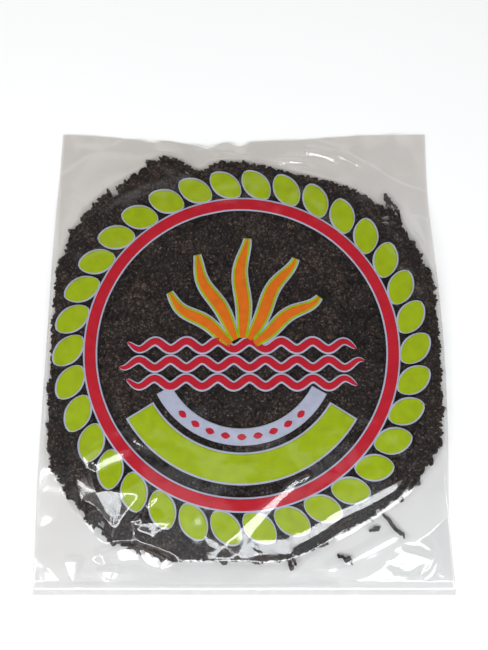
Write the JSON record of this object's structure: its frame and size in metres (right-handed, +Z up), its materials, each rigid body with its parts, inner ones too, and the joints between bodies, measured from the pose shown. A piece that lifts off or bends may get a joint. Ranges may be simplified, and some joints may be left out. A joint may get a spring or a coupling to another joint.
{
  "type": "dried laver disc in a clear film bag",
  "caption": "Round cake of pressed dried purple laver with a ragged frond rim, lying flat in a clear lay-flat film bag, a few broken fronds beside it.",
  "frame": {"origin": "middle of the bag's bounding box, on its flat underside", "axes": "+Z up through the cake's flat face, +Y along the bag towards its cut mouth, +X to the right as the printed face is read"},
  "size_m": [0.222, 0.2565, 0.0118],
  "materials": {
    "laver": "very dark brown-black pressed seaweed with purple and olive tints and a soft sheen",
    "film": null
  },
  "bodies": {
    "root": {"laver_disc": "laver", "film_bag": "film", "loose_frond_curl": "laver", "loose_frond_fleck": "laver", "loose_frond_tip": "laver"}
  },
  "joints": []
}
